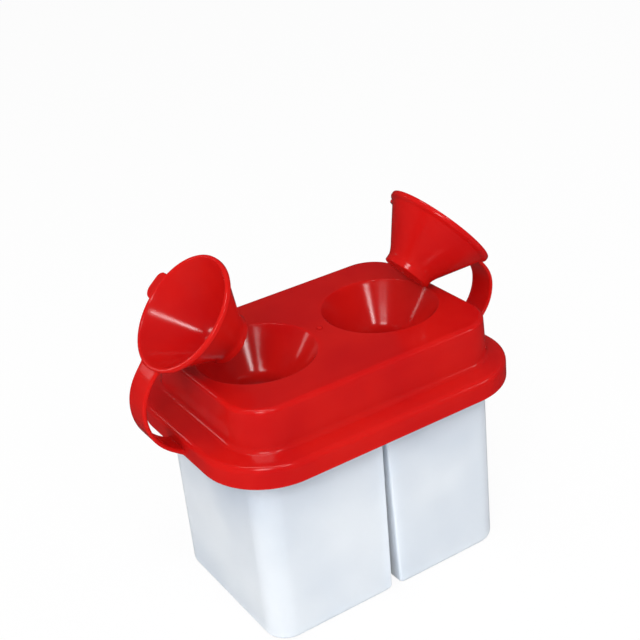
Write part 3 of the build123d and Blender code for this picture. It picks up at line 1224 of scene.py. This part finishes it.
@dataclass
class Strap:
    """A flat strap that bends between the lid's end and a stopper's band.

    It starts to bend a little way from its root, and the belly is how far it stands out from the
    flange. A pull is how hard a span's end directions draw on it. A growth is the added share of
    the thickness, and then of the width, at the strap's end and the length it dies away over.
    """

    cap: Stopper
    belly: float
    width: float = 11.0
    thickness: float = 1.4
    edge_round: float = 0.55
    face_points: int = 9
    root: Pair = (59.6, 71.5)
    root_angle: float = 24.0
    root_bend: Pair = (1.6, 0.8)
    flange: float = Lid.flange_half_length
    belly_height: float = 89.5
    band_overlap: float = 1.2
    lower_pull: float = 1.15
    upper_pull: float = 1.1
    root_growth: tuple[Pair, Pair] = ((1.1, 1.6), (0.16, 1.8))
    cap_growth: tuple[Pair, Pair] = ((0.35, 1.0), (0.10, 1.2))
    stations: int = 90
    finish: RedPlastic = field(default_factory=RedPlastic)

    def _band_point(self, inside: float) -> tuple[np.ndarray, np.ndarray]:
        """Where the strap meets the stopper's band, and its direction there.

        Args:
            inside: how far the point lies inside the band's edge.

        Returns:
            The point and the unit direction in the XZ plane, on the side of +X.
        """
        cap, turn = self.cap, math.radians(self.cap.opened)
        point = cap.turned(cap.band_radius - inside, -cap.band_height / 2)
        return np.array(point), np.array([-math.cos(turn), math.sin(turn)])

    def _middle_line(self) -> tuple[np.ndarray, np.ndarray]:
        """The strap's middle line and its directions: from root to belly, and on to the stopper.

        Returns:
            Points and unit directions in the XZ plane, on the side of +X.
        """
        end, end_way = self._band_point(self.band_overlap)
        root, belly = np.array(self.root), np.array([self.flange + self.belly, self.belly_height])
        angle, up = math.radians(self.root_angle), np.array([0.0, 1.0])
        root_way = np.array([math.cos(angle), math.sin(angle)])
        lower = self._span(root, root_way, belly, up, self.lower_pull)
        upper = self._span(belly, up, end, end_way, self.upper_pull)
        line = np.concatenate([lower, upper[1:]])
        return line, unit(np.gradient(line, axis=0))

    def _span(
        self, a: np.ndarray, a_way: np.ndarray, b: np.ndarray, b_way: np.ndarray, pull: float
    ) -> np.ndarray:
        """A cubic Hermite span: its ends and end directions, each times its cubic weight.

        Args:
            a: the first end.
            a_way: unit direction there.
            b: the second end.
            b_way: unit direction there.
            pull: length of the end directions as a share of the span's own.

        Returns:
            Evenly timed points, both ends among them.
        """
        t = np.linspace(0, 1, self.stations // 2 + 1)[:, None]
        reach = np.linalg.norm(b - a) * pull
        ends = (2 * t**3 - 3 * t**2 + 1) * a + (3 * t**2 - 2 * t**3) * b
        return ends + ((t**3 - 2 * t**2 + t) * a_way + (t**3 - t**2) * b_way) * reach

    def _section(self) -> np.ndarray:
        """The rounded section: its outward half, then the same half turned by 180 degrees.

        Returns:
            Offsets (across, outwards), anticlockwise.
        """
        half_w, half_t, r = self.width / 2, self.thickness / 2, self.edge_round
        across = np.linspace(half_w - r, r - half_w, self.face_points)
        half = joined(
            arc((half_w - r, half_t - r), r, 0, 90, 4),
            np.stack([across, np.full(self.face_points, half_t)], axis=-1),
            arc((r - half_w, half_t - r), r, 90, 180, 4),
        )
        return joined(half, -half)

    def build(self) -> bpy.types.Object:
        """Builds and dresses the strap.

        The section rides along the middle line: point = line + outwards offset times the normal,
        with the across offset along Y. The strap grows towards both ends, where it runs into the
        lid and the stopper: its size is 1 + the growths, each times exp(-distance / length).

        Returns:
            The strap's object, which stands for the CAD node.
        """
        line, way = self._middle_line()
        section = self._section()
        normal = np.stack([way[:, 1], -way[:, 0]], axis=-1)
        run = np.concatenate([[0], np.cumsum(np.linalg.norm(np.diff(line, axis=0), axis=1))])
        from_root, from_cap = run[:, None], (run[-1] - run)[:, None]
        thick, wide = (
            1 + low[0] * np.exp(-from_root / low[1]) + high[0] * np.exp(-from_cap / high[1])
            for low, high in zip(self.root_growth, self.cap_growth)
        )
        across, outwards = section[None, :, 0] * wide, section[None, :, 1] * thick
        side = self.cap.side
        x = line[:, :1] + normal[:, :1] * outwards
        z = line[:, 1:] + normal[:, 1:] * outwards
        grid = np.stack([x * side.value, across, z], axis=-1)
        caps = grid[[0, -1]].mean(axis=1, keepdims=True) + 0 * grid[[0, -1]]
        grid = np.concatenate([caps[:1], grid, caps[1:]])
        skin = Skin().add(grid, wrap=True, flip=side is Side.RIGHT)
        piece = skin.build(f"red_strap_{side.word}", self.finish.make())
        low, high = np.add(self.root, self.root_bend), self._band_point(0.0)[0]
        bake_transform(piece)
        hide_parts(f"strap_{side.word}")
        return piece


# ---------------------------------------------------------------- the studio


@dataclass(frozen=True)
class SoftBox:
    """One rectangular studio light, aimed at a point. Places and sizes are metres."""

    name: str
    place: Triple
    aim: Triple
    size: Pair
    watts: float
    mirrored: bool = True

    def light(self) -> None:
        """Adds the light, in metres, facing its aim."""
        lamp = bpy.data.lights.new(self.name, "AREA")
        lamp.shape = "RECTANGLE"
        lamp.size, lamp.size_y = self.size
        lamp.energy = self.watts
        lit = bpy.data.objects.new(self.name, lamp)
        place, aim = np.array(self.place), np.array(self.aim)
        back = (place - aim) / np.linalg.norm(place - aim)
        right = np.cross([0.0, 0.0, 1.0], back)
        right /= np.linalg.norm(right)
        lit.matrix_world = stood(right, np.cross(back, right), back, place)
        lit.visible_camera = False
        lit.visible_glossy = self.mirrored
        bpy.context.scene.collection.objects.link(lit)


@dataclass
class Studio:
    """Floor, backdrop light, soft boxes and camera.

    The camera's angles are degrees. Its distance and target and the floor's drop below the pot
    are millimetres, and the floor's size and the clipping distances metres.
    """

    azimuth: float = -30.433
    elevation: float = 27.063
    roll: float = -6.021
    distance: float = 444.53
    target: Triple = (0.537, 0.0, 98.175)
    focal_px: float = 1260.36
    width_px: float = 640.0
    sensor: float = 36.0
    clip: Pair = (0.01, 50.0)
    floor_size: float = 6.0
    floor_drop: float = 0.05
    floor_colour: Colour = (0.86, 0.86, 0.86, 1.0)
    floor_roughness: float = 0.9
    ambient: float = 0.60
    mirrored: float = 0.05
    floor_glow: float = 0.93
    floor_dimming: float = 0.95
    boxes: tuple[SoftBox, ...] = (
        SoftBox("key", (-0.78, -0.87, 1.05), (0, 0, 0.07), (0.9, 0.9), 7.0, mirrored=False),
        SoftBox("fill", (-1.15, -0.30, 0.22), (0, 0, 0.06), (0.5, 0.4), 2.3, mirrored=False),
        SoftBox("side_fill", (1.05, -0.30, 0.30), (0, 0, 0.06), (0.5, 0.4), 1.8, mirrored=False),
        SoftBox("overhead", (-0.19, -0.11, 0.98), (0, 0, 0.08), (0.74, 0.12), 1.5),
        SoftBox("camera_box", (-0.51, -0.565, 0.705), (0, 0, 0.10), (0.30, 0.20), 1.9),
        SoftBox("front_box", (-0.05, -0.73, 0.77), (0, 0, 0.09), (0.12, 0.10), 0.85),
        SoftBox("back_box", (-0.60, 0.76, 0.43), (0, 0, 0.09), (0.06, 0.18), 0.19),
        SoftBox("right_box", (0.66, -0.74, 0.36), (0, 0, 0.09), (0.22, 0.20), 0.5),
    )

    def _camera(self) -> None:
        """Stands the camera back from its target.

        With azimuth a and elevation e the direction back to the camera is
        (sin a cos e, -cos a cos e, sin e), and the view is turned by the roll.
        """
        a, e, roll = (math.radians(v) for v in (self.azimuth, self.elevation, self.roll))
        back = np.array([math.sin(a) * math.cos(e), -math.cos(a) * math.cos(e), math.sin(e)])
        right = np.cross(-back, [0.0, 0.0, 1.0])
        right /= np.linalg.norm(right)
        up = np.cross(back, right)
        turned_right = math.cos(roll) * right + math.sin(roll) * up
        turned_up = -math.sin(roll) * right + math.cos(roll) * up
        place = (np.array(self.target) + back * self.distance) * MM
        lens = bpy.data.cameras.new("camera")
        lens.sensor_width = self.sensor
        lens.lens = self.focal_px * self.sensor / self.width_px
        lens.clip_start, lens.clip_end = self.clip
        camera = bpy.data.objects.new("camera", lens)
        camera.matrix_world = stood(turned_right, turned_up, back, place)
        bpy.context.scene.collection.objects.link(camera)
        bpy.context.scene.camera = camera

    def _world(self) -> None:
        """White to the camera and through clear things, even grey light, dim in reflections."""
        world = bpy.data.worlds.new("studio")
        bpy.context.scene.world = world
        s = Shader(world)
        strength: Operand = self.ambient
        for ray, value in (
            ("Is Glossy Ray", self.mirrored),
            ("Is Camera Ray", 1.0),
            ("Is Transmission Ray", 1.0),
        ):
            share = s.add("ShaderNodeLightPath", output=ray)
            inputs = {MIX_SHARE: share, MIX_VALUE_A: strength, MIX_VALUE_B: value}
            strength = s.add("ShaderNodeMix", {"data_type": "FLOAT"}, inputs)
        shade = s.add("ShaderNodeBackground", None, {"Color": WHITE, "Strength": strength})
        s.add("ShaderNodeOutputWorld", None, {"Surface": shade})

    def _floor(self) -> None:
        """A pale floor that looks white to the camera and keeps a soft shadow."""
        half = self.floor_size / 2
        x, y = np.meshgrid([-half, half], [-half, half])
        grid = np.stack([x / MM, y / MM, 0 * x - self.floor_drop], axis=-1)
        s = Shader(bpy.data.materials.new("floor"))
        seen = s.add("ShaderNodeLightPath", output="Is Camera Ray")
        mirrored = s.add("ShaderNodeLightPath", output="Is Glossy Ray")
        lit = s.principled(Base_Color=self.floor_colour, Roughness=self.floor_roughness)
        bright = s.switched(seen * self.floor_glow, lit, s.glow(1.0))
        dimmed = s.switched(mirrored * self.floor_dimming, bright, s.glow(0.0))
        floor = Skin().add(grid).build("floor", s.finish(dimmed))

    def build(self) -> None:
        """Sets up the whole studio."""
        self._world()
        self._floor()
        self._camera()
        for box in self.boxes:
            box.light()
        bpy.context.scene.view_settings.view_transform = "Standard"
        log.info("studio: %d soft boxes", len(self.boxes))


def main() -> None:
    """Builds every piece in order, then the studio."""
    Pot().build()
    Lid().build()
    for cap, belly in (
        (Stopper(Side.LEFT, opened=44.7, pivot=(65.2, 78.05)), 11.5),
        (Stopper(Side.RIGHT, opened=50.0, pivot=(61.95, 76.25)), 13.3),
    ):
        cap.build()
        Strap(cap, belly).build()
    Studio().build()


if __name__ == "__main__":
    main()
